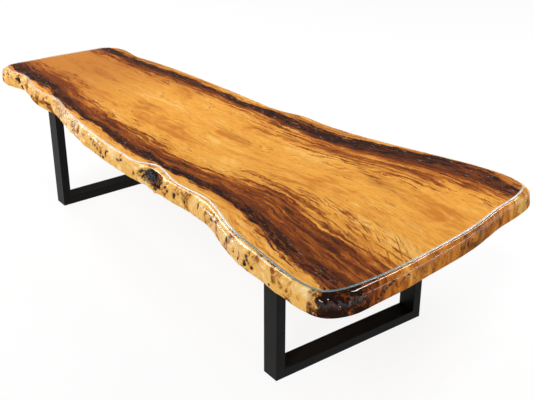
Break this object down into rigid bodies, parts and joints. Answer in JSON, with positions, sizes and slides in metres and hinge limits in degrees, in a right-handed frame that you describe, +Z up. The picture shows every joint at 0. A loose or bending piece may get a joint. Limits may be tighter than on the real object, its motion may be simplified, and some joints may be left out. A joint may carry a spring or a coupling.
{
  "type": "live edge dining table",
  "caption": "Long dining table: a thick natural-edged wood slab under a clear glossy coat, bolted to U-shaped frames of black rectangular steel tube.",
  "frame": {"origin": "on the floor, under the middle of the slab's outline", "axes": "+X along the slab's length towards its wide end, -Y towards the long edge with the dark knot, +Z up"},
  "size_m": [3.481, 1.4738, 0.75],
  "materials": {
    "slab_wood": "golden brown hardwood with dark streaks, sealed and glossy",
    "clear_epoxy": "clear poured epoxy, high gloss",
    "dark_knot": "dark knot wood soaked in resin, glossy",
    "black_powder_coat": "satin black powder coat on steel",
    "zinc_steel": "zinc-plated steel",
    "brass_insert": "turned brass",
    "floor_pad_rubber": "black rubber"
  },
  "bodies": {
    "root": {"live_edge_slab": "slab_wood", "clear_top_coat": "clear_epoxy", "edge_knot": "dark_knot", "near_front_upright": "black_powder_coat", "near_back_upright": "black_powder_coat", "near_floor_bar": "black_powder_coat", "near_top_plate": "black_powder_coat", "near_plate_bolts": "zinc_steel", "near_plate_washers": "zinc_steel", "near_threaded_inserts": "brass_insert", "near_front_floor_pad": "floor_pad_rubber", "near_back_floor_pad": "floor_pad_rubber", "far_front_upright": "black_powder_coat", "far_back_upright": "black_powder_coat", "far_floor_bar": "black_powder_coat", "far_top_plate": "black_powder_coat", "far_plate_bolts": "zinc_steel", "far_plate_washers": "zinc_steel", "far_threaded_inserts": "brass_insert", "far_front_floor_pad": "floor_pad_rubber", "far_back_floor_pad": "floor_pad_rubber"}
  },
  "joints": []
}
